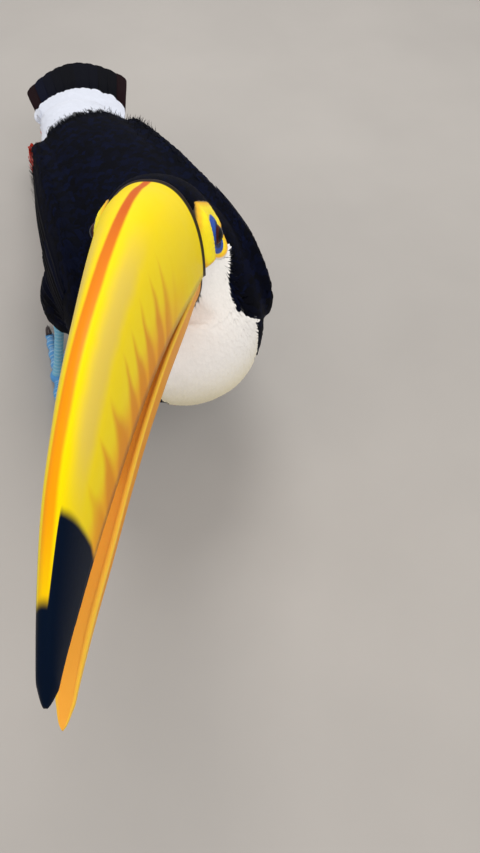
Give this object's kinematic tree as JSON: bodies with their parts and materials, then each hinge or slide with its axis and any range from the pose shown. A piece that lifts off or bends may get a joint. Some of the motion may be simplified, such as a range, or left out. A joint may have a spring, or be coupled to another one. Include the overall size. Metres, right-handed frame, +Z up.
{
  "type": "toco toucan",
  "caption": "Life-size toco toucan standing on the floor with its head turned and its long bill raised a little, open.",
  "frame": {"origin": "middle of the bird's box on the floor it stands on", "axes": "-Y the way the trunk faces, +X the bird's left, +Z up"},
  "size_m": [0.17, 0.5096, 0.2293],
  "materials": {
    "black_plumage": "soft, faintly glossy feathers",
    "white_plumage": "silky, matt feathers",
    "bill_horn": "thin polished horn",
    "lower_bill_horn": "thin polished horn",
    "tongue_skin": "dry, narrow tongue",
    "eye": "wet gloss",
    "foot_scales": "dry overlapping scutes",
    "claw_horn": "dark horn, worn tips"
  },
  "bodies": {
    "root": {"head": "white_plumage", "neck": "white_plumage", "rump": "white_plumage", "trunk": "black_plumage", "wing_left": "black_plumage", "wing_right": "black_plumage", "tail": "black_plumage", "thigh_left": "black_plumage", "thigh_right": "black_plumage", "bill_upper": "bill_horn", "bill_lower": "lower_bill_horn", "tongue": "tongue_skin", "eye_left": "eye", "eye_right": "eye", "shank_left": "foot_scales", "shank_right": "foot_scales", "foot_left": "foot_scales", "foot_right": "foot_scales", "claw_left_inner_front": "claw_horn", "claw_left_outer_front": "claw_horn", "claw_left_outer_back": "claw_horn", "claw_left_inner_back": "claw_horn", "claw_right_inner_front": "claw_horn", "claw_right_outer_front": "claw_horn", "claw_right_outer_back": "claw_horn", "claw_right_inner_back": "claw_horn"}
  },
  "joints": []
}
